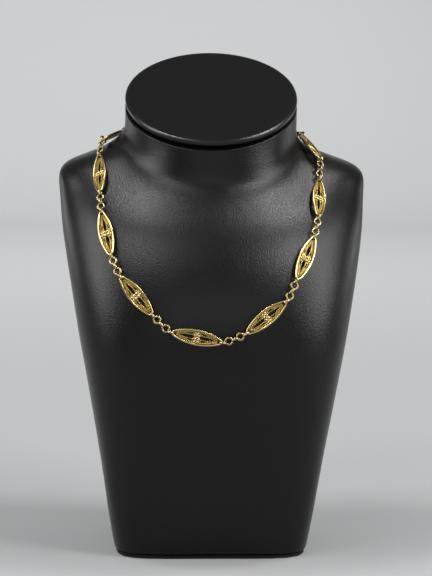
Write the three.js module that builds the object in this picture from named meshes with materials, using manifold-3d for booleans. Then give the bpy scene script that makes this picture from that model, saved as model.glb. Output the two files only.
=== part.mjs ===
// A long watch chain, worn as a necklace on a padded neck bust.
//
// The chain is a closed loop of eleven openwork navette links. Between each two of them run five
// round rings, each turned a quarter round from the one before it, and the loop closes behind the
// neck with one plain clasp. The bust is a covered torso on a thin base plate, and its neck is cut
// at a slope under a round cap.
//
// Millimetres. +X is the bust's own left-to-right as seen from the front, -Y faces the front, +Z is
// up, and the origin is at the middle of the underside of the base plate. A "turn" is an angle in
// degrees round the bust's upright axis: 0 at the front, 90 at +X, 180 at the back.
import * as THREE from 'three';
import { mergeVertices } from 'three/addons/utils/BufferGeometryUtils.js';
import Module from 'manifold-3d';

const wasm = await Module();
wasm.setup();

// Navette links: a blunt lens-shaped plate with a hole at each tip and three slots in each half.
const LINK_COUNT = 11;
const LINK_HALF_LENGTH = 14.8;
const LINK_HALF_WIDTH = 4.65;
const LINK_TIP_RADIUS = 1.9;
const LINK_THICKNESS = 1.3;
const LINK_RAIL = 0.8;
const LINK_ARC_STEPS = 5;

// Round rings between the links.
const RINGS_PER_RUN = 5;
const RINGS_BY_CLASP = 3;
const RING_OUTER = 5.2;
const RING_WIRE = 0.95;
const RING_STEPS = 10;
const RING_SIDES = 6;
const RING_PITCH = 3.48;
const RING_REACH = 0.45; // from a link's tip to the centre of the ring in its tip hole
const RUN_HANDLE = 1 / 9; // share of a run's length over which it follows the link it leaves

// Clasp: a flat bar with an eye at each end.
const CLASP_WIDTH = 5.2;
const CLASP_THICKNESS = 1.3;
const CLASP_EYE = 1.7;
const CLASP_RIM = 0.8;
const CLASP_ARC_STEPS = 8;

// Bust.
const BUST_HEIGHT = 300.2;
const PLATE_THICKNESS = 2;
const PLATE_INSET = 0.8;
const SEAT_GAP = 0.3;
const NECK_HALF_WIDTH = 52.3;
const NECK_FRONT = 41;
const NECK_BACK = 49;
const THROAT_FILLET = 14; // where the neck runs out into the chest
const LEFT_FILLET = 26; // and where it meets the shoulders
const RIGHT_FILLET = 16;
const RIGHT_SHOULDER_DROP = 1.2; // the covered form is a little uneven
const NECK_SHIFT = -0.9; // and its neck stands a little off its middle
const NECK_FADE_LOW = 120;
const NECK_FADE_HIGH = 180;
const BUST_SEGMENTS = 48;

// Cap on the neck.
const CAP_RADIUS = 52.4;
const CAP_THICKNESS = 4.4;
const CAP_EDGE = 1.3;
const CAP_DOME = 0.8;
const CAP_HALFWAY_RISE = 0.6;
const CAP_PLUG_RADIUS = 40;
const CAP_PLUG_DEPTH = 0.6;
const CAP_SLOPE = THREE.MathUtils.degToRad(29.2);
const CAP_TURN = THREE.MathUtils.degToRad(-2.5); // the slope faces a little to the left
const CAP_CENTRE_Y = (NECK_BACK - NECK_FRONT) / 2;
const CAP_CENTRE_Z = BUST_HEIGHT - CAP_RADIUS * Math.sin(CAP_SLOPE);
const CAP_SEGMENTS = 48;

// Level sections of the torso: half width, reach to the front, reach to the back, how square the
// section is (2 is an ellipse), and how far ahead of the axis its widest line lies. Above the
// shoulders the sections shrink inside the neck.
const TORSO = [
  // height, half width, front, back, squareness, widest line
  [0, 58, 48, 44, 6, 0],
  [25, 62.4, 54, 45, 5.4, 7],
  [50, 65.7, 60, 46, 4.8, 13],
  [80, 70.5, 68.5, 47, 4, 20],
  [110, 75.7, 75.5, 49, 3.2, 26],
  [135, 80.6, 79, 51, 2.6, 28],
  [155, 83.7, 77.5, 52, 2.3, 27],
  [175, 87.4, 72, 52, 2.15, 21],
  [192, 90.2, 64, 52, 2.1, 13],
  [207, 92, 52.5, 51, 2.1, 6],
  [220, 93, 37, 50, 2.1, 0],
  [229, 92.8, 25, 48, 2.1, -2],
  [232.6, 91.3, 20.5, 46, 2.1, -4],
  [235.9, 86.7, 16.5, 44, 2.1, -5],
  [242.8, 66, 10, 38, 2.1, -7],
  [250, 46, 6, 28, 2.1, -6],
  [258, 22, 3, 10, 2.1, -4],
];

// Heights of the bust's rings of facets.
const BUST_LEVELS = [
  12, 25, 45, 65, 88, 110, 130, 148, 165, 180, 192, 202, 211, 219, 225, 229.5, 233, 236, 239,
  242.5, 246, 250, 255, 262,
];

// Route of the chain's centre line, as points over the bust's surface.
const ROUTE_OFFSET = 2.9;
const ROUTE = [
  // turn, height, lift above the usual offset
  [-27.8, 142.3, 0],
  [2.7, 137, 0],
  [17.8, 142, 0],
  [39.9, 158.9, 0],
  [45.4, 170.8, 0],
  [54.1, 193.2, 0],
  [58.2, 204, 0],
  [69.6, 224.8, 0],
  [75.6, 233.6, 2.4],
  [94.5, 248.2, 0.1],
  [120, 249.5, 2.2],
  [150, 252.5, 1.6],
  [180, 253.5, 1.4],
  [-150, 252.5, 1.6],
  [-130, 249, 2.6],
  [-108, 248.6, 0.8],
  [-83, 241.6, 2.3],
  [-77.3, 235, 0],
  [-66.9, 216.6, 0],
  [-62.8, 206.1, 0],
  [-56.7, 182.5, 0],
  [-52.5, 170.8, 0],
  [-37.7, 151.3, 0],
];

// Turn of a link's face away from the neck, about the link's own length, in degrees. The links on
// the shoulders lean, and the others lie flat along the surface.
const LINK_LEANS = [0, 0, 0, 14, 10, 0, 0, -3, 20, 0, 0];

const gold = new THREE.MeshStandardMaterial({ color: 0xc9a04e, roughness: 0.28, metalness: 1 });
const leatherette = new THREE.MeshStandardMaterial({ color: 0x17171a, roughness: 0.5, metalness: 0 });
const capCover = new THREE.MeshStandardMaterial({ color: 0x151518, roughness: 0.55, metalness: 0 });
const plateCover = new THREE.MeshStandardMaterial({ color: 0x101012, roughness: 0.7, metalness: 0 });

// ---------------------------------------------------------------- solids

const SAME_CORNER = 1e-4;

function toSolid(geometry) {
  const bare = geometry.clone();
  bare.deleteAttribute('normal');
  bare.deleteAttribute('uv');
  const merged = mergeVertices(bare, SAME_CORNER);
  const corners = merged.index.array;
  const kept = [];
  for (let i = 0; i < corners.length; i += 3) {
    const [a, b, c] = [corners[i], corners[i + 1], corners[i + 2]];
    if (a !== b && b !== c && c !== a) kept.push(a, b, c);
  }
  return new wasm.Manifold(
    new wasm.Mesh({
      numProp: 3,
      vertProperties: Float32Array.from(merged.attributes.position.array),
      triVerts: Uint32Array.from(kept),
    }),
  );
}

function toGeometry(solid) {
  const mesh = solid.getMesh();
  const geometry = new THREE.BufferGeometry();
  geometry.setAttribute('position', new THREE.BufferAttribute(mesh.vertProperties, 3));
  geometry.setIndex(new THREE.BufferAttribute(mesh.triVerts, 1));
  geometry.computeVertexNormals();
  return geometry;
}

// ---------------------------------------------------------------- bust surface

// One column of the section table at a height, on a smooth curve through its rows.
function torsoValue(height, column) {
  const last = TORSO.length - 1;
  const z = THREE.MathUtils.clamp(height, TORSO[0][0], TORSO[last][0]);
  let row = 0;
  while (row < last - 1 && z > TORSO[row + 1][0]) row += 1;
  const slopeAt = (k) => {
    const low = TORSO[Math.max(k - 1, 0)];
    const high = TORSO[Math.min(k + 1, last)];
    return (high[column] - low[column]) / (high[0] - low[0]);
  };
  const span = TORSO[row + 1][0] - TORSO[row][0];
  const t = (z - TORSO[row][0]) / span;
  const rise = t * t * (3 - 2 * t);
  const leave = t * (1 - t) * (1 - t) * span * slopeAt(row);
  const arrive = t * t * (t - 1) * span * slopeAt(row + 1);
  return TORSO[row][column] * (1 - rise) + TORSO[row + 1][column] * rise + leave + arrive;
}

// Reach of a section with the given half width and ends, in the direction of an angle.
function sectionRadius(angle, halfWidth, front, back, squareness) {
  const across = Math.abs(Math.sin(angle)) / halfWidth;
  const along = Math.abs(Math.cos(angle)) / (Math.cos(angle) > 0 ? front : back);
  return (across ** squareness + along ** squareness) ** (-1 / squareness);
}

// How far ahead of the axis the widest line of the bust lies, at a height. Turns and reaches are
// taken from that line.
function widestLine(height) {
  return torsoValue(height, 5);
}

// Reach of the bust at a turn and height: the torso and the neck, joined by a soft fillet.
function bustRadius(angle, height) {
  const top = TORSO[TORSO.length - 1][0];
  const level = height + RIGHT_SHOULDER_DROP * Math.max(Math.sin(angle), 0);
  const [halfWidth, front, back, squareness] = [1, 2, 3, 4].map((k) => torsoValue(level, k));
  const ahead = widestLine(height);
  const torsoEnds = [front - ahead, back + ahead];
  const torso = level < top ? sectionRadius(angle, halfWidth, ...torsoEnds, squareness) : 0;
  const fade = THREE.MathUtils.clamp(
    (height - NECK_FADE_LOW) / (NECK_FADE_HIGH - NECK_FADE_LOW), 0, 1,
  );
  const neckEnds = [NECK_FRONT - ahead, NECK_BACK + ahead];
  const neckReach = sectionRadius(angle, NECK_HALF_WIDTH, ...neckEnds, 2);
  const neck = fade * (neckReach + NECK_SHIFT * Math.sin(angle));
  const frontness = Math.max(Math.cos(angle), 0) ** 2;
  const rightness = (1 + Math.sin(angle)) / 2;
  const sideFillet = THREE.MathUtils.lerp(LEFT_FILLET, RIGHT_FILLET, rightness);
  const fillet = THREE.MathUtils.lerp(sideFillet, THROAT_FILLET, frontness);
  const blend = Math.max(fillet - Math.abs(torso - neck), 0) / fillet;
  return Math.max(torso, neck) + (blend * blend * fillet) / 4;
}

function bustPoint(angle, height) {
  const radius = bustRadius(angle, height);
  const y = -radius * Math.cos(angle) - widestLine(height);
  return new THREE.Vector3(radius * Math.sin(angle), y, height);
}

const TURN_STEP = 0.01;
const HEIGHT_STEP = 0.3;

function bustNormal(angle, height) {
  const round = bustPoint(angle + TURN_STEP, height).sub(bustPoint(angle - TURN_STEP, height));
  const up = bustPoint(angle, height + HEIGHT_STEP).sub(bustPoint(angle, height - HEIGHT_STEP));
  return round.cross(up).normalize();
}

// ---------------------------------------------------------------- bust pieces

// A closed lathe turned to stand on +Z, with its first seam at the front.
function uprightLathe(profile, segments) {
  const points = profile.map(([radius, height]) => new THREE.Vector2(radius, height));
  return new THREE.LatheGeometry(points, segments).rotateX(Math.PI / 2);
}

// Half-space above the neck's sloping top, as a large box.
function aboveNeck() {
  const size = 2 * BUST_HEIGHT;
  const drop = CAP_THICKNESS + CAP_PLUG_DEPTH + SEAT_GAP;
  const box = new THREE.BoxGeometry(size, size, size / 2);
  box.translate(0, 0, size / 4 - drop);
  box.rotateX(CAP_SLOPE);
  box.rotateZ(CAP_TURN);
  box.translate(NECK_SHIFT, CAP_CENTRE_Y, CAP_CENTRE_Z);
  return box;
}

// A lathe of unit radius, pushed out to the bust's surface and cut off at the neck's slope.
function bustBody() {
  const foot = PLATE_THICKNESS + SEAT_GAP;
  const crown = BUST_HEIGHT + CAP_THICKNESS;
  const profile = [[0, foot], [1, foot]];
  for (const level of BUST_LEVELS) profile.push([1, level]);
  profile.push([1, crown], [0, crown]);
  const geometry = uprightLathe(profile, BUST_SEGMENTS);
  const position = geometry.attributes.position;
  for (let i = 0; i < position.count; i += 1) {
    const [x, y, height] = [position.getX(i), position.getY(i), position.getZ(i)];
    const radius = bustRadius(Math.atan2(x, -y), height);
    position.setXYZ(i, x * radius, y * radius - widestLine(height), height);
  }
  return toGeometry(toSolid(geometry).subtract(toSolid(aboveNeck())));
}

function neckCap() {
  const profile = [
    [0, -CAP_THICKNESS - CAP_PLUG_DEPTH],
    [CAP_PLUG_RADIUS, -CAP_THICKNESS - CAP_PLUG_DEPTH],
    [CAP_PLUG_RADIUS, -CAP_THICKNESS],
    [CAP_RADIUS - CAP_EDGE, -CAP_THICKNESS],
    [CAP_RADIUS, -CAP_THICKNESS + CAP_EDGE],
    [CAP_RADIUS, -CAP_EDGE],
    [CAP_RADIUS - CAP_EDGE, 0],
    [CAP_RADIUS / 2, CAP_HALFWAY_RISE],
    [0, CAP_DOME],
  ];
  return uprightLathe(profile, CAP_SEGMENTS);
}

function basePlate() {
  const outline = [];
  for (let i = 0; i < BUST_SEGMENTS; i += 1) {
    const angle = (2 * Math.PI * i) / BUST_SEGMENTS;
    const radius = bustRadius(angle, 0) - PLATE_INSET;
    outline.push(new THREE.Vector2(radius * Math.sin(angle), -radius * Math.cos(angle)));
  }
  const shape = new THREE.Shape(outline);
  return new THREE.ExtrudeGeometry(shape, { depth: PLATE_THICKNESS, bevelEnabled: false });
}

// ---------------------------------------------------------------- chain pieces

const SAME_POINT = 0.01;

// The outline as single points: where one arc ends and the next begins, only one is kept.
function cleanOutline(points) {
  const apart = points.filter((point, i) => {
    const previous = points[(i + points.length - 1) % points.length];
    return point.distanceTo(previous) > SAME_POINT;
  });
  return new THREE.Shape(apart);
}

// Lens outline with round tips: each side is one arc that runs tangent into both tip arcs.
function lensOutline(halfLength, halfWidth, tipRadius) {
  const tip = halfLength - tipRadius;
  const side =
    (tip * tip + halfWidth * halfWidth - tipRadius * tipRadius) / (2 * (halfWidth - tipRadius));
  const drop = side - halfWidth;
  const join = Math.atan2(drop, tip);
  const shape = new THREE.Shape();
  shape.absarc(tip, 0, tipRadius, -join, join);
  shape.absarc(0, -drop, side, join, Math.PI - join);
  shape.absarc(-tip, 0, tipRadius, Math.PI - join, Math.PI + join);
  shape.absarc(0, drop, side, Math.PI + join, 2 * Math.PI - join);
  return cleanOutline(shape.getPoints(LINK_ARC_STEPS));
}

// Openings in one half of a link, from its middle to its tip, as [along, across] corners. The tip
// hole and the middle slot are given by their upper edge, and mirror over the link's middle line.
const TIP_HOLE = [[11.9, 1.25], [13.8, 0.7], [LINK_HALF_LENGTH - LINK_RAIL, 0.4]];
const MIDDLE_SLOT = [[2.4, 0.55], [7.5, 0.5], [10.3, 0]];
const SIDE_SLOT = [[2.6, 1.2], [2.7, 1.9], [4.6, 1.75], [6.2, 1.1]];

function bothSides(edge) {
  const lower = edge.filter(([, across]) => across > 0).map(([along, across]) => [along, -across]);
  return edge.concat(lower.reverse());
}

function opening(corners, end, side = 1) {
  return new THREE.Path(corners.map(([x, y]) => new THREE.Vector2(x * end, y * side)));
}

function navetteLink() {
  const shape = lensOutline(LINK_HALF_LENGTH, LINK_HALF_WIDTH, LINK_TIP_RADIUS);
  for (const end of [1, -1]) {
    shape.holes.push(opening(bothSides(TIP_HOLE), end), opening(bothSides(MIDDLE_SLOT), end));
    shape.holes.push(opening(SIDE_SLOT, end, 1), opening(SIDE_SLOT, end, -1));
  }
  const options = { depth: LINK_THICKNESS, bevelEnabled: false };
  return new THREE.ExtrudeGeometry(shape, options).translate(0, 0, -LINK_THICKNESS / 2);
}

// Clasp bar between its two tips, with a round eye behind each.
function claspBar(length) {
  const tip = CLASP_EYE / 2 + CLASP_RIM;
  const shape = lensOutline(length / 2, CLASP_WIDTH / 2, tip);
  for (const end of [1, -1]) {
    const eye = new THREE.Path();
    eye.absarc(end * (length / 2 - tip), 0, CLASP_EYE / 2, 0, 2 * Math.PI, true);
    shape.holes.push(eye);
  }
  const options = {
    depth: CLASP_THICKNESS, bevelEnabled: false, curveSegments: CLASP_ARC_STEPS,
  };
  return new THREE.ExtrudeGeometry(shape, options).translate(0, 0, -CLASP_THICKNESS / 2);
}

function ringAt(centre, along, axis) {
  const middle = (RING_OUTER - RING_WIRE) / 2;
  const ring = new THREE.TorusGeometry(middle, RING_WIRE / 2, RING_SIDES, RING_STEPS);
  const across = new THREE.Vector3().crossVectors(axis, along);
  const frame = new THREE.Matrix4().makeBasis(along, across, axis);
  return ring.applyMatrix4(frame.setPosition(centre));
}

// Rings between two placed pieces, each ring passing through the next. The first and last stand on
// edge in the tip holes of the two pieces, and every other one lies flat.
function ringRun(from, to, count) {
  const first = from.centre.clone().addScaledVector(from.along, from.half + RING_REACH);
  const last = to.centre.clone().addScaledVector(to.along, -to.half - RING_REACH);
  const handle = first.distanceTo(last) * RUN_HANDLE;
  const path = new THREE.CubicBezierCurve3(
    first,
    first.clone().addScaledVector(from.along, handle),
    last.clone().addScaledVector(to.along, -handle),
    last,
  );
  let run = null;
  for (let i = 0; i < count; i += 1) {
    const share = i / (count - 1);
    const along = path.getTangentAt(share);
    const outward = from.outward.clone().lerp(to.outward, share);
    outward.addScaledVector(along, -outward.dot(along)).normalize();
    const sideways = new THREE.Vector3().crossVectors(outward, along);
    const ring = toSolid(ringAt(path.getPointAt(share), along, i % 2 === 0 ? sideways : outward));
    run = run ? run.add(ring) : ring;
  }
  return toGeometry(run);
}

// ---------------------------------------------------------------- chain layout

const radians = THREE.MathUtils.degToRad;
const route = new THREE.CatmullRomCurve3(
  ROUTE.map(([turn, height, lift]) => {
    const outward = bustNormal(radians(turn), height);
    return bustPoint(radians(turn), height).addScaledVector(outward, ROUTE_OFFSET + lift);
  }),
  true,
  'centripetal',
);
const routeOutward = new THREE.CatmullRomCurve3(
  ROUTE.map(([turn, height]) => bustNormal(radians(turn), height)),
  true,
  'centripetal',
);

// Places on the route are shares of its parameter; one past the end goes on from the start.
const WALK_STEP = 1 / 40000;
const FACE_SPREAD = 0.008;

function routePoint(place) {
  return route.getPoint((place + 1) % 1);
}

// The next place on the route that lies a straight distance away; a negative one goes backwards.
function walk(place, distance) {
  const start = routePoint(place);
  let next = place;
  while (routePoint(next).distanceTo(start) < Math.abs(distance)) {
    next += Math.sign(distance) * WALK_STEP;
  }
  return next;
}

// Direction away from the bust at a place, evened out over a short stretch of the route.
function outwardAt(place) {
  const outward = new THREE.Vector3();
  for (const shift of [-FACE_SPREAD, 0, FACE_SPREAD]) {
    outward.add(routeOutward.getPoint((place + shift + 1) % 1));
  }
  return outward.normalize();
}

// A flat piece laid between two places on the route, with its face away from the bust and then
// leaned by an angle about its length.
function layPiece(startPlace, endPlace, lean = 0) {
  const start = routePoint(startPlace);
  const end = routePoint(endPlace);
  const along = end.clone().sub(start).normalize();
  const outward = outwardAt((startPlace + endPlace) / 2);
  outward.addScaledVector(along, -outward.dot(along)).normalize();
  outward.applyAxisAngle(along, radians(lean));
  const centre = start.clone().add(end).multiplyScalar(0.5);
  return { centre, along, outward, half: start.distanceTo(end) / 2, startPlace, endPlace };
}

const LINK_GAP = 2 * RING_REACH + (RINGS_PER_RUN - 1) * RING_PITCH;
const CLASP_GAP = 2 * RING_REACH + (RINGS_BY_CLASP - 1) * RING_PITCH;
const LINKS_TO_RIGHT = 6; // laid from the front link round to the clasp; the rest go the other way

function layLinks() {
  const links = [];
  let end = 0;
  for (let i = 0; i < LINKS_TO_RIGHT; i += 1) {
    const start = i === 0 ? 0 : walk(end, LINK_GAP);
    end = walk(start, 2 * LINK_HALF_LENGTH);
    links.push(layPiece(start, end, LINK_LEANS[i]));
  }
  let start = 0;
  for (let i = LINK_COUNT - 1; i >= LINKS_TO_RIGHT; i -= 1) {
    end = walk(start, -LINK_GAP);
    start = walk(end, -2 * LINK_HALF_LENGTH);
    links.splice(LINKS_TO_RIGHT, 0, layPiece(start, end, LINK_LEANS[i]));
  }
  return links;
}

const links = layLinks();
const beforeClasp = links[LINKS_TO_RIGHT - 1];
const afterClasp = links[LINKS_TO_RIGHT];
const clasp = layPiece(
  walk(beforeClasp.endPlace, CLASP_GAP),
  walk(afterClasp.startPlace, -CLASP_GAP) + 1,
);

// ---------------------------------------------------------------- assembly

const watchChain = new THREE.Group();

function addMesh(name, geometry, material) {
  const mesh = new THREE.Mesh(geometry, material);
  mesh.name = name;
  watchChain.add(mesh);
  return mesh;
}

function addLaid(name, geometry, piece) {
  const mesh = addMesh(name, geometry, gold);
  const across = new THREE.Vector3().crossVectors(piece.outward, piece.along);
  const frame = new THREE.Matrix4().makeBasis(piece.along, across, piece.outward);
  mesh.position.copy(piece.centre);
  mesh.quaternion.setFromRotationMatrix(frame);
}

const twoDigits = (number) => String(number).padStart(2, '0');

addMesh('base_plate', basePlate(), plateCover);
addMesh('bust_body', bustBody(), leatherette);
const cap = addMesh('neck_cap', neckCap(), capCover);
cap.position.set(NECK_SHIFT, CAP_CENTRE_Y, CAP_CENTRE_Z);
cap.rotation.set(CAP_SLOPE, 0, CAP_TURN, 'ZYX');

const runEnds = [];
links.forEach((link, i) => {
  addLaid(`navette_${twoDigits(i + 1)}`, navetteLink(), link);
  if (link === beforeClasp) {
    runEnds.push([link, clasp, RINGS_BY_CLASP], [clasp, afterClasp, RINGS_BY_CLASP]);
  } else {
    runEnds.push([link, links[(i + 1) % LINK_COUNT], RINGS_PER_RUN]);
  }
});
runEnds.forEach(([from, to, count], i) => {
  addMesh(`ring_run_${twoDigits(i + 1)}`, ringRun(from, to, count), gold);
});
addLaid('clasp', claspBar(2 * clasp.half), clasp);

export default watchChain;
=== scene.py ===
"""A gold watch chain of navette links, worn as a necklace on a black leatherette neck bust."""
import math

import bmesh
import bpy
import numpy as np
from mathutils import Matrix, Quaternion, Vector
from mathutils.bvhtree import BVHTree
from mathutils.geometry import interpolate_bezier


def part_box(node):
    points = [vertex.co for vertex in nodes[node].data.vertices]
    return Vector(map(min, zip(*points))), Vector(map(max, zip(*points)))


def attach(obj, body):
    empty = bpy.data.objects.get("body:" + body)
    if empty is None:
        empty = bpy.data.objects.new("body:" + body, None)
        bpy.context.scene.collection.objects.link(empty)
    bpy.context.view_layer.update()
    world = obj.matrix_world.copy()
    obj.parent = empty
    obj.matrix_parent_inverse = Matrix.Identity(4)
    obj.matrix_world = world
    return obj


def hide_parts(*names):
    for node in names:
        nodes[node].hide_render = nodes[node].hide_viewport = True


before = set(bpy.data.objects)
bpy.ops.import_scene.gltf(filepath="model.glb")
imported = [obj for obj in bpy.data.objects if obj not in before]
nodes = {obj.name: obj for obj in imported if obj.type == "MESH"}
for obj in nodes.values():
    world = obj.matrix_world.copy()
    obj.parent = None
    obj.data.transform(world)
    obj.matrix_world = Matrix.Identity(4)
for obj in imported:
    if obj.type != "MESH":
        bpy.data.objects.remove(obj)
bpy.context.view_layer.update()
scene = bpy.context.scene

# ---------------------------------------------------------------- studio floor
# A pale seamless sheet: it lies flat under the bust, curves up behind it in one wide bend, and
# goes on as the background. It is part of the studio, not of the object.
sheet_half_width = 2.8
sheet_front = -2.4
sheet_bend_start = 1.9
sheet_bend_radius = 0.5
sheet_bend_steps = 32
sheet_height = 2.6


def studio_paper():
    material = bpy.data.materials.new("studio_paper")
    material.use_nodes = True
    shader = material.node_tree.nodes["Principled BSDF"]
    shader.inputs["Base Color"].default_value = (0.305, 0.307, 0.31, 1)
    shader.inputs["Roughness"].default_value = 0.9
    shader.inputs["Specular IOR Level"].default_value = 0.2
    return material


def seamless_sheet():
    bm = bmesh.new()
    ends = [bm.verts.new((side * sheet_half_width, sheet_front, 0)) for side in (-1, 1)]
    edge = bm.edges.new(ends)
    flat = bmesh.ops.extrude_edge_only(bm, edges=[edge])["geom"]
    moved = [part for part in flat if isinstance(part, bmesh.types.BMVert)]
    bmesh.ops.translate(bm, verts=moved, vec=(0, sheet_bend_start - sheet_front, 0))
    last = [part for part in flat if isinstance(part, bmesh.types.BMEdge)]
    bend_centre = (0, sheet_bend_start, sheet_bend_radius)
    bend = bmesh.ops.spin(
        bm, geom=moved + last, cent=bend_centre, axis=(1, 0, 0), angle=math.radians(90),
        steps=sheet_bend_steps,
    )["geom_last"]
    last = [part for part in bend if isinstance(part, bmesh.types.BMEdge)]
    wall = bmesh.ops.extrude_edge_only(bm, edges=last)["geom"]
    moved = [part for part in wall if isinstance(part, bmesh.types.BMVert)]
    bmesh.ops.translate(bm, verts=moved, vec=(0, 0, sheet_height - sheet_bend_radius))
    bmesh.ops.recalc_face_normals(bm, faces=bm.faces)
    mesh = bpy.data.meshes.new("seamless_sheet")
    bm.to_mesh(mesh)
    bm.free()
    mesh.shade_smooth()
    return bpy.data.objects.new("seamless_sheet", mesh)


floor = seamless_sheet()
floor.data.materials.append(studio_paper())
scene.collection.objects.link(floor)

# ---------------------------------------------------------------- base plate
# A thin flat board closes the bottom of the bust and is what it stands on. It is covered in black
# paper and glued on, set back a little from the torso all round.
patch_grains = 12  # grains across one lighter or darker patch of a covering
patch_detail = 3
patch_darkest = 0.8  # shares of the covering's colour
patch_lightest = 1.25
joint_softness = 0.6


def covering(name, colour, roughness, shine, grain_size, grain_depth):
    """Covering sheet with a fine grain: cells about grain_size metres wide, with sunk joints."""
    material = bpy.data.materials.new(name)
    material.use_nodes = True
    tree = material.node_tree
    shader = tree.nodes["Principled BSDF"]
    shader.inputs["Roughness"].default_value = roughness
    shader.inputs["Specular IOR Level"].default_value = shine
    place = tree.nodes.new("ShaderNodeTexCoord")
    patches = tree.nodes.new("ShaderNodeTexNoise")
    patches.inputs["Scale"].default_value = 1 / (patch_grains * grain_size)
    patches.inputs["Detail"].default_value = patch_detail
    tint = tree.nodes.new("ShaderNodeMix")
    tint.data_type = "RGBA"
    tint.inputs["A"].default_value = (*(channel * patch_darkest for channel in colour), 1)
    tint.inputs["B"].default_value = (*(channel * patch_lightest for channel in colour), 1)
    cells = tree.nodes.new("ShaderNodeTexVoronoi")
    cells.feature = "SMOOTH_F1"
    cells.inputs["Scale"].default_value = 1 / grain_size
    cells.inputs["Smoothness"].default_value = joint_softness
    bump = tree.nodes.new("ShaderNodeBump")
    bump.invert = True
    bump.inputs["Distance"].default_value = grain_depth
    link = tree.links.new
    link(place.outputs["Object"], patches.inputs["Vector"])
    link(place.outputs["Object"], cells.inputs["Vector"])
    link(patches.outputs["Fac"], tint.inputs["Factor"])
    link(tint.outputs["Result"], shader.inputs["Base Color"])
    link(cells.outputs["Distance"], bump.inputs["Height"])
    link(bump.outputs["Normal"], shader.inputs["Normal"])
    return material


plate_cover = covering(
    "plate_cover", colour=(0.006, 0.006, 0.0065), roughness=0.75, shine=0.2,
    grain_size=0.0006, grain_depth=0.00008,
)
nodes["base_plate"].data.materials.clear()
nodes["base_plate"].data.materials.append(plate_cover)

# ---------------------------------------------------------------- bust body
# The torso and neck are one hollow form, wrapped in black leatherette with a fine pebbled grain.
# The covering is turned over the sloping top of the neck, which leaves a soft rolled edge there.
bust_columns = 48
torso_rises = [
    # heights of the torso's rings of points above its foot, closer at the foot and the shoulders
    0.0006, 0.004, 0.0097, 0.0227, 0.0427, 0.0627, 0.0857, 0.1077, 0.1277, 0.1457, 0.1627,
    0.1777, 0.1897, 0.1997, 0.2087, 0.2167, 0.2227, 0.2272, 0.2307, 0.2337, 0.2367,
]
neck_rows = 14
near_rim = 0.992  # share of the way up the neck at which its edge begins to roll over
rolled_rise = 0.0004  # how far the rim is raised, to allow for what rounding takes off it
turned_under = 0.0008  # width of the edge that is turned in at the foot and at the top
flat_from_edge = 0.0032
surface_skin = 0.0002  # how far inside the foot or the top a ray is cast, so that it meets the wall
hair = 0.00001  # keeps a ray off the edges between faces, and joins points that should be one
beyond = 0.2  # a distance that is well outside the bust
corner_places = 6  # decimals of a metre to which corners at one place agree
leatherette = covering(
    "leatherette", colour=(0.0018, 0.0018, 0.0019), roughness=0.3, shine=0.27,
    grain_size=0.0007, grain_depth=0.0001,
)


def flat_frame(name):
    """Centre of a flat CAD piece and its long, middle and thin axes, from how its corners lie."""
    corners = np.array([vertex.co for vertex in nodes[name].data.vertices])
    corners = np.unique(np.round(corners, corner_places), axis=0)
    centre = corners.mean(axis=0)
    axes = np.linalg.eigh(np.cov((corners - centre).T))[1]
    return Vector(centre), Vector(axes[:, 2]), Vector(axes[:, 1]), Vector(axes[:, 0])


def cad_surface(name):
    """Search tree of a CAD node's faces."""
    bm = bmesh.new()
    bm.from_mesh(nodes[name].data)
    tree = BVHTree.FromBMesh(bm)
    bm.free()
    return tree


def neck_plane():
    """The point of the neck's sloping top on the bust's axis, and the slope's upward normal."""
    centre, _, _, normal = flat_frame("neck_cap")
    if normal.z < 0:
        normal.negate()
    surface = cad_surface("bust_body")
    hit = surface.ray_cast(centre + normal * beyond, -normal)[0]
    return Vector((0, 0, hit.dot(normal) / normal.z)), normal


def bust_mesh():
    surface = cad_surface("bust_body")
    middle, slope = neck_plane()
    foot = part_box("bust_body")[0].z
    column_turn = Matrix.Rotation(math.tau / bust_columns, 3, "Z")

    def rim_at(out):
        along = out - Vector((0, 0, out.dot(slope) / slope.z))
        return surface.ray_cast(middle - slope * surface_skin, along.normalized())[0]

    def wall_at(out, share, height):
        """A point of the wall: at a height, or at a share of the way from there to the rim."""
        level = height if share is None else height + (rim_at(out).z - height) * share
        start = out * beyond + Vector((hair, hair, level + hair))
        return surface.ray_cast(start, -out)[0]

    def lay(verts, share, height):
        """Set a ring on the wall, standing out by the sixth of its bend that rounding takes off."""
        turns = (column_turn, column_turn.inverted())
        for vertex in verts:
            out = Vector((vertex.co.x, vertex.co.y, 0)).normalized()
            beside = [wall_at(turn @ out, share, height) for turn in turns]
            point = wall_at(out, share, height)
            taken_off = (2 * point - beside[0] - beside[1]) / 6
            taken_off.z = 0
            vertex.co = point + taken_off

    bm = bmesh.new()
    ring = bmesh.ops.create_circle(bm, cap_ends=True, segments=bust_columns, radius=1)["verts"]
    edges = list(bm.edges)
    lay(ring, None, foot + surface_skin)
    for vertex in ring:
        vertex.co.xy *= 1 - turned_under / vertex.co.xy.length
    rows = [(None, foot + rise) for rise in torso_rises]
    shares = [step / neck_rows for step in range(1, neck_rows)] + [near_rim, 1]
    rows += [(share, foot + torso_rises[-1]) for share in shares]
    for share, height in rows:
        made = bmesh.ops.extrude_edge_only(bm, edges=edges)["geom"]
        ring = [part for part in made if isinstance(part, bmesh.types.BMVert)]
        edges = [part for part in made if isinstance(part, bmesh.types.BMEdge) and part.is_boundary]
        lay(ring, share, height)
    bmesh.ops.translate(bm, verts=ring, vec=slope * rolled_rise)
    top = bmesh.ops.contextual_create(bm, geom=edges)["faces"]
    bmesh.ops.inset_region(bm, faces=top, thickness=turned_under, use_even_offset=True)
    bmesh.ops.inset_region(bm, faces=top, thickness=flat_from_edge, use_even_offset=True)
    bmesh.ops.recalc_face_normals(bm, faces=bm.faces)
    mesh = bpy.data.meshes.new("bust")
    bm.to_mesh(mesh)
    bm.free()
    mesh.shade_smooth()
    return mesh


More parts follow.
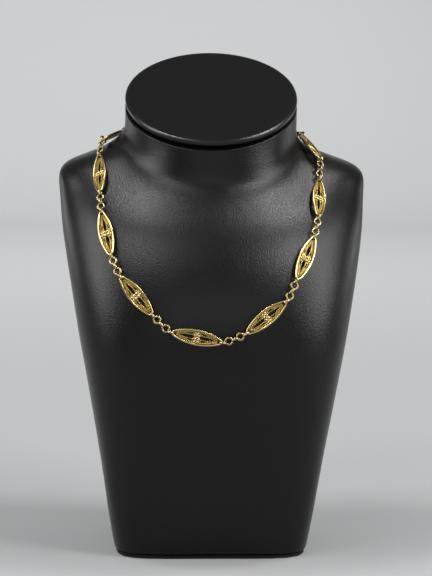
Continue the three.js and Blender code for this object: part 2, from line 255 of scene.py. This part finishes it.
bust = bpy.data.objects.new("bust", bust_mesh())
bust.data.materials.append(leatherette)
scene.collection.objects.link(bust)
rounding = bust.modifiers.new("rounding", "SUBSURF")
rounding.levels = rounding.render_levels = 2
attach(bust, "root")
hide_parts("bust_body")

# ---------------------------------------------------------------- neck cap
# A thin padded board closes the neck, under the same leatherette, which shines where it is drawn
# tight over the round rim. The underside curves in, which leaves a dark groove above the neck.
cap_columns = 72
cap_profile = [
    # out from the middle, down from the highest point
    (0, 0), (0.018, 0.0001), (0.034, 0.0003), (0.0490, 0.0007), (0.0511, 0.0008), (0.0518, 0.0011),
    (0.0522, 0.0017), (0.0523, 0.0027), (0.0522, 0.0041), (0.0516, 0.0049), (0.0490, 0.0052),
    (0.0402, 0.0052), (0.0398, 0.0054), (0.0396, 0.0058), (0.0360, 0.0059), (0, 0.0059),
]
rim_start = 0.0511  # how far out from the middle the round rim begins
cap_cover = covering(
    "cap_cover", colour=(0.0022, 0.0022, 0.0023), roughness=0.5, shine=0.1,
    grain_size=0.0007, grain_depth=0.00006,
)
rim_cover = covering(
    "rim_cover", colour=(0.0014, 0.0014, 0.0015), roughness=0.26, shine=0.45,
    grain_size=0.0007, grain_depth=0.00004,
)


def cap_mesh():
    centre, _, _, normal = flat_frame("neck_cap")
    if normal.z < 0:
        normal.negate()
    corners = [vertex.co for vertex in nodes["neck_cap"].data.vertices]
    highest = max((corner - centre).dot(normal) for corner in corners)
    bm = bmesh.new()
    points = [bm.verts.new((out, 0, -down)) for out, down in cap_profile]
    edges = [bm.edges.new(pair) for pair in zip(points, points[1:])]
    bmesh.ops.spin(
        bm, geom=points + edges, cent=(0, 0, 0), axis=(0, 0, 1), angle=math.tau,
        steps=cap_columns, use_merge=True,
    )
    bmesh.ops.remove_doubles(bm, verts=bm.verts, dist=hair)
    bmesh.ops.recalc_face_normals(bm, faces=bm.faces)
    for face in bm.faces:
        face.material_index = int(face.calc_center_median().xy.length > rim_start)
    stand = Vector((0, 0, 1)).rotation_difference(normal).to_matrix().to_4x4()
    stand.translation = centre + normal * highest
    mesh = bpy.data.meshes.new("cap")
    bm.to_mesh(mesh)
    bm.free()
    mesh.transform(stand)
    mesh.shade_smooth()
    return mesh


cap = bpy.data.objects.new("cap", cap_mesh())
cap.data.materials.append(cap_cover)
cap.data.materials.append(rim_cover)
scene.collection.objects.link(cap)
rounding = cap.modifiers.new("rounding", "SUBSURF")
rounding.levels = rounding.render_levels = 1
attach(cap, "root")
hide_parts("neck_cap")

# ---------------------------------------------------------------- navette links
# Eleven openwork links of 18 carat gold. A tall polished rail runs round a pierced plate, whose
# edge and bars carry wire twisted from two strands, with a rosette of grains at its middle.
tip_steps = 8
side_steps = 20
rail_half_length = 0.0148
rail_half_width = 0.00462
rail_tip_radius = 0.0019
rail_width = 0.00102
rail_underside = -0.00065
rail_top = 0.00095
rail_rounding = 0.00034
plate_outline = (0.0124, 0.00368, 0.0013)  # half length, half width, tip radius
plate_underside = -0.0005
plate_top = 0
plate_rounding = 0.00005
middle_slot = [
    # along, across, from the rosette's side to the tip and back
    (0.0017, 0.00035), (0.0023, 0.00075), (0.0036, 0.00100), (0.0056, 0.00092), (0.0076, 0.00066),
    (0.0092, 0.00036), (0.0106, 0), (0.0092, -0.00036), (0.0076, -0.00066), (0.0056, -0.00092),
    (0.0036, -0.00100), (0.0023, -0.00075), (0.0017, -0.00035),
]
side_slot = [
    (0.0031, 0.00155), (0.0027, 0.00167), (0.0027, 0.00232), (0.0031, 0.00246), (0.0042, 0.00230),
    (0.0054, 0.00190), (0.0061, 0.00158), (0.0058, 0.00146), (0.0044, 0.00152),
]
edge_wire_outline = (0.0115, 0.00300, 0.0010)  # half length, half width, tip radius
edge_wire_radius = 0.00032
bar_wire_path = [
    (0.0022, 0.00118), (0.0040, 0.00122), (0.0058, 0.00114), (0.0078, 0.00088), (0.0094, 0.00056),
    (0.0112, 0), (0.0094, -0.00056), (0.0078, -0.00088), (0.0058, -0.00114), (0.0040, -0.00122),
    (0.0022, -0.00118),
]
bar_wire_radius = 0.00018
wire_seat = 0.00012
strand_count = 2
strand_pitch = 0.0008  # from one strand to the next, along the wire
strand_steps = 4
strand_sides = 8
strand_waist = 0.3  # share of the wire's width that is left between the strands
grains = [
    # along, across, radius, height
    (0.00100, 0.00098, 0.00098, 0.0008), (0, 0, 0.00060, 0.0009),
    (0.00090, 0.0026, 0.00080, 0.0005), (0, 0.0019, 0.00070, 0.0007),
]
grain_subdivisions = 2
wave_detail = 2
hollow_shade = 0.82  # how dark the gold is in its hollows, as a share of its colour
sharp_edge = math.radians(50)
weld_distance = hair / 4


def gold(name, colour, roughness, wave_height, wave_length):
    """Yellow gold whose surface rises and falls a little, in waves of these sizes in metres."""
    material = bpy.data.materials.new(name)
    material.use_nodes = True
    tree = material.node_tree
    shader = tree.nodes["Principled BSDF"]
    shader.inputs["Metallic"].default_value = 1
    shader.inputs["Roughness"].default_value = roughness
    place = tree.nodes.new("ShaderNodeTexCoord")
    waves = tree.nodes.new("ShaderNodeTexNoise")
    waves.inputs["Scale"].default_value = 1 / wave_length
    waves.inputs["Detail"].default_value = wave_detail
    tint = tree.nodes.new("ShaderNodeMix")
    tint.data_type = "RGBA"
    tint.inputs["A"].default_value = (*(channel * hollow_shade for channel in colour), 1)
    tint.inputs["B"].default_value = (*colour, 1)
    bump = tree.nodes.new("ShaderNodeBump")
    bump.inputs["Distance"].default_value = wave_height
    link = tree.links.new
    link(place.outputs["Object"], waves.inputs["Vector"])
    link(waves.outputs["Fac"], tint.inputs["Factor"])
    link(tint.outputs["Result"], shader.inputs["Base Color"])
    link(waves.outputs["Fac"], bump.inputs["Height"])
    link(bump.outputs["Normal"], shader.inputs["Normal"])
    return material


# the chain's golds: polished finishes, and darker golds whose darkness is partly painted shade
gold_finishes_and_shades = [
    # name, colour, roughness, height and length of the waves
    gold("polished_gold", (0.56, 0.44, 0.20), 0.22, 0.00002, 0.0012),
    # the twisted wire and the pierced plate lie low inside the rail, and their golds are darker
    # than the polished one: partly the patina of these recesses, partly painted shade
    gold("twisted_gold_patina_and_shade", (0.44, 0.32, 0.10), 0.26, 0.00002, 0.0006),
    gold("pierced_gold_patina_and_shade", (0.31, 0.22, 0.062), 0.45, 0.00006, 0.0003),
    # painted shade: the rings are the same polished gold as the rail, given a darker colour to
    # stand for the dark bust that they mirror
    gold("ring_gold_painted_shade", (0.36, 0.285, 0.135), 0.22, 0.00002, 0.0012),
]
polished, twisted, pierced, ring_shaded_gold = range(len(gold_finishes_and_shades))


def lens_outline(half_length, half_width, tip_radius):
    """Points of a lens with round tips, each side one arc that runs into both tip arcs."""
    tip = half_length - tip_radius
    side = (tip ** 2 + half_width ** 2 - tip_radius ** 2) / (2 * (half_width - tip_radius))
    drop = side - half_width
    join = math.atan2(drop, tip)
    arcs = [
        (tip, 0, tip_radius, -join, join, tip_steps),
        (0, -drop, side, join, math.pi - join, side_steps),
        (-tip, 0, tip_radius, math.pi - join, math.pi + join, tip_steps),
        (0, drop, side, math.pi + join, math.tau - join, side_steps),
    ]
    points = []
    for x, y, radius, start, stop, steps in arcs:
        for angle in np.linspace(start, stop, steps, endpoint=False):
            points.append((x + radius * math.cos(angle), y + radius * math.sin(angle)))
    return points


def four_ways(points):
    """An outline in all four quarters of a link, each once."""
    ways = {}
    for end, side in ((1, 1), (1, -1), (-1, 1), (-1, -1)):
        placed = [(x * end, y * side) for x, y in points]
        # adding 0.0 makes a minus zero plain
        corners = frozenset(
            (round(x, corner_places) + 0.0, round(y, corner_places) + 0.0) for x, y in placed
        )
        ways.setdefault(corners, placed)
    return list(ways.values())


def cut_plate(outlines, underside, top, rounding):
    """A flat piece cut to an outer outline and the openings in it, with rounded edges."""
    drawing = bpy.data.curves.new("drawing", "CURVE")
    drawing.dimensions = "2D"
    drawing.fill_mode = "BOTH"
    drawing.extrude = (top - underside) / 2 - rounding
    drawing.bevel_depth = rounding
    drawing.bevel_resolution = 1
    drawing.offset = -rounding
    for outline in outlines:
        spline = drawing.splines.new("POLY")
        spline.points.add(len(outline) - 1)
        for point, (x, y) in zip(spline.points, outline):
            point.co = (x, y, 0, 1)
        spline.use_cyclic_u = True
    drawn = bpy.data.objects.new("drawn", drawing)
    mesh = bpy.data.meshes.new_from_object(drawn)
    bpy.data.objects.remove(drawn)
    mesh.transform(Matrix.Translation((0, 0, (underside + top) / 2)))
    return mesh


def twisted_wire(path, closed, radius, level):
    """Two strands twisted into one wire along a path, as one section that turns as it goes."""
    corners = np.array(path + path[:1] if closed else path)
    reach = np.concatenate([[0], np.cumsum(np.linalg.norm(np.diff(corners, axis=0), axis=1))])
    steps = strand_steps * round(reach[-1] / strand_pitch)
    stations = np.linspace(0, reach[-1], steps, endpoint=not closed)
    section = bpy.data.curves.new("strands", "CURVE")
    section.dimensions = "2D"
    rim = section.splines.new("POLY")
    rim.points.add(strand_sides - 1)
    for step, point in enumerate(rim.points):
        turn = math.tau * step / strand_sides
        out = radius * (1 + strand_waist + (1 - strand_waist) * math.cos(strand_count * turn)) / 2
        point.co = (out * math.cos(turn), out * math.sin(turn), 0, 1)
    rim.use_cyclic_u = True
    strands = bpy.data.objects.new("strands", section)
    route = bpy.data.curves.new("wire", "CURVE")
    route.dimensions = "3D"
    route.twist_mode = "Z_UP"
    route.bevel_mode = "OBJECT"
    route.bevel_object = strands
    route.use_fill_caps = True
    spline = route.splines.new("POLY")
    spline.points.add(len(stations) - 1)
    for step, station in enumerate(stations):
        x, y = (np.interp(station, reach, corners[:, side]) for side in (0, 1))
        spline.points[step].co = (x, y, level, 1)
        spline.points[step].tilt = math.tau / strand_count * step / strand_steps
    spline.use_cyclic_u = closed
    wire = bpy.data.objects.new("wire", route)
    for part in (strands, wire):
        scene.collection.objects.link(part)
    drawn = wire.evaluated_get(bpy.context.evaluated_depsgraph_get())
    mesh = bpy.data.meshes.new_from_object(drawn)
    for part in (strands, wire):
        bpy.data.objects.remove(part)
    return mesh


def add_part(bm, mesh, finish):
    """Add a mesh to the piece in one of the golds, some of them darkened as painted shade."""
    known = len(bm.faces)
    bm.from_mesh(mesh)
    bm.faces.ensure_lookup_table()
    for face in bm.faces[known:]:
        face.material_index = finish
    bpy.data.meshes.remove(mesh)


def finish_gold(bm, name):
    """Close the seams of a gold piece and give it its golds, some darkened as painted shade, with
    its corners left crisp.
    """
    bmesh.ops.remove_doubles(bm, verts=bm.verts, dist=weld_distance)
    bmesh.ops.recalc_face_normals(bm, faces=bm.faces)
    mesh = bpy.data.meshes.new(name)
    bm.to_mesh(mesh)
    bm.free()
    for material in gold_finishes_and_shades:
        mesh.materials.append(material)
    mesh.shade_smooth()
    mesh.set_sharp_from_angle(angle=sharp_edge)
    return mesh


def navette_mesh():
    """One link about the origin: its length on X, its width on Y, its face to +Z."""
    bm = bmesh.new()
    rail = [
        lens_outline(rail_half_length - inset, rail_half_width - inset, rail_tip_radius - inset)
        for inset in (0, rail_width)
    ]
    add_part(bm, cut_plate(rail, rail_underside, rail_top, rail_rounding), polished)
    openings = [lens_outline(*plate_outline)] + four_ways(middle_slot) + four_ways(side_slot)
    add_part(bm, cut_plate(openings, plate_underside, plate_top, plate_rounding), pierced)
    seat = plate_top + wire_seat
    edge = lens_outline(*edge_wire_outline)
    add_part(bm, twisted_wire(edge, True, edge_wire_radius, seat), twisted)
    for bar in four_ways(bar_wire_path):
        add_part(bm, twisted_wire(bar, False, bar_wire_radius, seat), twisted)
    for along, across, radius, height in grains:
        for (x, y), in four_ways([(along, across)]):
            known = len(bm.faces)
            dome = Matrix.LocRotScale((x, y, plate_top), None, (radius, radius, height))
            bmesh.ops.create_icosphere(bm, subdivisions=grain_subdivisions, radius=1, matrix=dome)
            bm.faces.ensure_lookup_table()
            for face in bm.faces[known:]:
                face.material_index = polished
    return finish_gold(bm, "navette")


links_before_clasp = 6
link_names = sorted(name for name in nodes if name.startswith("navette"))
chain_order = link_names[:links_before_clasp] + ["clasp"] + link_names[links_before_clasp:]
lean_up = Vector((0, 0, 0.04))  # a piece lies on a slope, so it faces up as well as outwards


def next_in_chain(name):
    return chain_order[(chain_order.index(name) + 1) % len(chain_order)]


def laid_frame(name):
    """Where a flat chain piece lies: X towards the next one, Z away from the bust."""
    centre, along, _, outward = flat_frame(name)
    if along.dot(flat_frame(next_in_chain(name))[0] - centre) < 0:
        along.negate()
    if outward.dot(Vector((centre.x, centre.y, 0)) + lean_up) < 0:
        outward.negate()
    lie = Matrix((along, outward.cross(along), outward)).transposed().to_4x4()
    lie.translation = centre
    return lie


navette = navette_mesh()
for name in link_names:
    link_piece = bpy.data.objects.new(name.replace("navette", "link"), navette.copy())
    link_piece.data.transform(laid_frame(name))
    scene.collection.objects.link(link_piece)
    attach(link_piece, "root")
    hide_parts(name)

# ---------------------------------------------------------------- rings
# Plain soldered rings of round gold wire join the links, five to a run and three on each side of
# the clasp. Each passes through the next at a right angle, and the end ones through the link tips.
rings_in_run = 5
rings_by_clasp = 3
ring_wire = 0.00125
ring_outer = 0.0052
ring_steps = 24
ring_sides = 8
ring_reach = 0.00045  # from the end of a link to the middle of the ring in it
forward_roll = 1.0  # how much further to the front the rings of the front runs turn
run_handle = 1 / 9  # share of a run's length over which it follows the link that it leaves
path_steps = 60


def ring_mesh():
    bm = bmesh.new()
    middle = (ring_outer - ring_wire) / 2
    upright = Matrix.Translation((middle, 0, 0)) @ Matrix.Rotation(math.radians(90), 4, "X")
    bmesh.ops.create_circle(bm, segments=ring_sides, radius=ring_wire / 2, matrix=upright)
    bmesh.ops.spin(
        bm, geom=bm.verts[:] + bm.edges[:], cent=(0, 0, 0), axis=(0, 0, 1), angle=math.tau,
        steps=ring_steps, use_merge=True,
    )
    # the rings take the darkened gold, whose darkness is painted shade
    for face in bm.faces:
        face.material_index = ring_shaded_gold
    return finish_gold(bm, "ring")


def run_places(start_frame, end_frame, start_half, end_half, count):
    """Evenly spaced places along the smooth path of a run of rings, each with its direction.

    It leaves the one piece and meets the other at their ends, whose half lengths are given.
    """
    start_along, end_along = start_frame.col[0].xyz, end_frame.col[0].xyz
    first = start_frame.translation + start_along * (start_half + ring_reach)
    last = end_frame.translation - end_along * (end_half + ring_reach)
    handle = (last - first).length * run_handle
    path = np.array(interpolate_bezier(
        first, first + start_along * handle, last - end_along * handle, last, path_steps + 1,
    ))
    steps = np.diff(path, axis=0)
    reach = np.concatenate([[0], np.cumsum(np.linalg.norm(steps, axis=1))])
    slopes = np.gradient(path, axis=0)
    places = []
    for share in np.linspace(0, reach[-1], count):
        point, slope = (
            Vector([np.interp(share, reach, table[:, side]) for side in range(3)])
            for table in (path, slopes)
        )
        places.append((point, slope.normalized()))
    return places


def half_of(name):
    """Half the length of a link or of the clasp."""
    centre, along, _, _ = flat_frame(name)
    return max((vertex.co - centre).dot(along) for vertex in nodes[name].data.vertices)


ring = ring_mesh()
for number, name in enumerate(chain_order, 1):
    following = next_in_chain(name)
    ring_count = rings_by_clasp if "clasp" in (name, following) else rings_in_run
    start_frame, end_frame = laid_frame(name), laid_frame(following)
    places = run_places(start_frame, end_frame, half_of(name), half_of(following), ring_count)
    bm = bmesh.new()
    for step, (point, along) in enumerate(places):
        share = step / (ring_count - 1)
        outward = start_frame.col[2].xyz.lerp(end_frame.col[2].xyz, share)
        outward.y += forward_roll * min(outward.y, 0)
        outward = (outward - along * outward.dot(along)).normalized()
        sideways = outward.cross(along)
        axis = sideways if step % 2 == 0 else outward
        lie = Matrix((along, axis.cross(along), axis)).transposed().to_4x4()
        lie.translation = point
        placed = ring.copy()
        placed.transform(lie)
        bm.from_mesh(placed)
        bpy.data.meshes.remove(placed)
    run = bpy.data.objects.new(f"rings_{number:02d}", finish_gold(bm, "rings"))
    scene.collection.objects.link(run)
    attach(run, "root")
    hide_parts(f"ring_run_{number:02d}")

# ---------------------------------------------------------------- clasp
# A plain flat gold clasp behind the neck, with an eye at each end for the last ring. Its face
# carries a raised panel edged in the same twisted wire.
clasp_half_width = 0.0026
clasp_tip_radius = 0.00165
clasp_underside = -0.00065
clasp_top = 0.0002
clasp_rounding = 0.00015
eye_radius = 0.00085
eye_steps = 16
panel_short_of_tips = 0.0046
panel_half_width = 0.0017
panel_tip_radius = 0.0007
panel_top = 0.0005


def eye_outline(along):
    turns = [math.tau * step / eye_steps for step in range(eye_steps)]
    return [(along + eye_radius * math.cos(turn), eye_radius * math.sin(turn)) for turn in turns]


def clasp_mesh():
    bm = bmesh.new()
    half = half_of("clasp")
    tip = half - clasp_tip_radius
    body = [lens_outline(half, clasp_half_width, clasp_tip_radius)]
    body += [eye_outline(tip), eye_outline(-tip)]
    add_part(bm, cut_plate(body, clasp_underside, clasp_top, clasp_rounding), polished)
    panel = lens_outline(half - panel_short_of_tips, panel_half_width, panel_tip_radius)
    panel_underside = clasp_top - clasp_rounding
    add_part(bm, cut_plate([panel], panel_underside, panel_top, clasp_rounding), polished)
    add_part(bm, twisted_wire(panel, True, bar_wire_radius, clasp_top + wire_seat), twisted)
    return finish_gold(bm, "clasp_piece")


clasp = bpy.data.objects.new("clasp_piece", clasp_mesh())
clasp.data.transform(laid_frame("clasp"))
scene.collection.objects.link(clasp)
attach(clasp, "root")
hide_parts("clasp")

# ---------------------------------------------------------------- camera
# It stands 1.2 m off, just above the height of the neck's top and a little to the left of the
# bust, and looks slightly down.
camera_distance = 1.2
camera_elevation = math.radians(8)
camera_azimuth = math.radians(-3)
camera_subject = Vector((0, 0, 0.15))
camera_aim_right = 0.0031
camera_aim_up = 0.0074
camera_lens = 122.4
camera_roll = math.radians(0.66)
camera_sees_to = 20

camera = bpy.data.objects.new("camera", bpy.data.cameras.new("camera"))
camera.data.lens = camera_lens
camera.data.clip_end = camera_sees_to
away = Vector((
    math.sin(camera_azimuth) * math.cos(camera_elevation),
    -math.cos(camera_azimuth) * math.cos(camera_elevation),
    math.sin(camera_elevation),
))
camera.location = camera_subject + away * camera_distance
right = Vector((math.cos(camera_azimuth), math.sin(camera_azimuth), 0))
aim = camera_subject + right * camera_aim_right + Vector((0, 0, camera_aim_up))
look = (aim - camera.location).to_track_quat("-Z", "Y")
camera.rotation_euler = (look @ Quaternion((0, 0, 1), camera_roll)).to_euler()
scene.collection.objects.link(camera)
scene.camera = camera

# ---------------------------------------------------------------- studio light
# Soft boxes stand over both shoulders and flanks, tall panels at the sides and in front, and low
# ones behind for the edges. A long box above lights the sheet behind the bust.
middle_of_bust = (0, 0, 0.2)
chest = (0, 0, 0.15)
sheet_behind = (0, 2.4, 0.65)
softboxes = [
    # name, place, what it is turned to, width, height, watts
    ("left_box", (-0.37, -0.12, 1.26), middle_of_bust, 0.2, 0.2, 4.9),
    ("right_box", (0.45, -0.12, 1.22), middle_of_bust, 0.2, 0.2, 5.6),
    ("left_flank_box", (-0.66, -0.72, 1.08), middle_of_bust, 0.3, 0.3, 3.6),
    ("right_flank_box", (0.74, -0.72, 1.06), middle_of_bust, 0.3, 0.3, 6.2),
    ("left_panel", (-0.99, -0.28, 0.6), middle_of_bust, 0.5, 0.8, 8.6),
    ("right_panel", (0.94, -0.41, 0.58), middle_of_bust, 0.5, 0.8, 9.2),
    ("left_rim_panel", (-0.87, 0.6, 0.23), middle_of_bust, 0.45, 0.25, 0.75),
    ("right_rim_panel", (0.97, 0.45, 0.22), middle_of_bust, 0.45, 0.25, 0.75),
    ("front_box", (-0.6, -1.5, 1.9), chest, 0.7, 0.7, 3.8),
    ("front_panel", (0, -1.75, 0.48), chest, 1.8, 0.8, 4.2),
    ("backdrop_box", (0, 1.0, 1.6), sheet_behind, 2.6, 0.4, 69),
]
for name, place, target, width, height, watts in softboxes:
    light = bpy.data.objects.new(name, bpy.data.lights.new(name, "AREA"))
    light.data.shape = "RECTANGLE"
    light.data.size = width
    light.data.size_y = height
    light.data.energy = watts
    light.location = place
    light.rotation_euler = (Vector(target) - Vector(place)).to_track_quat("-Z", "Y").to_euler()
    scene.collection.objects.link(light)

world = bpy.data.worlds.new("studio")
world.use_nodes = True
world.node_tree.nodes["Background"].inputs["Color"].default_value = (0.85, 0.86, 0.88, 1)
world.node_tree.nodes["Background"].inputs["Strength"].default_value = 0.2
scene.world = world
scene.view_settings.view_transform = "Standard"
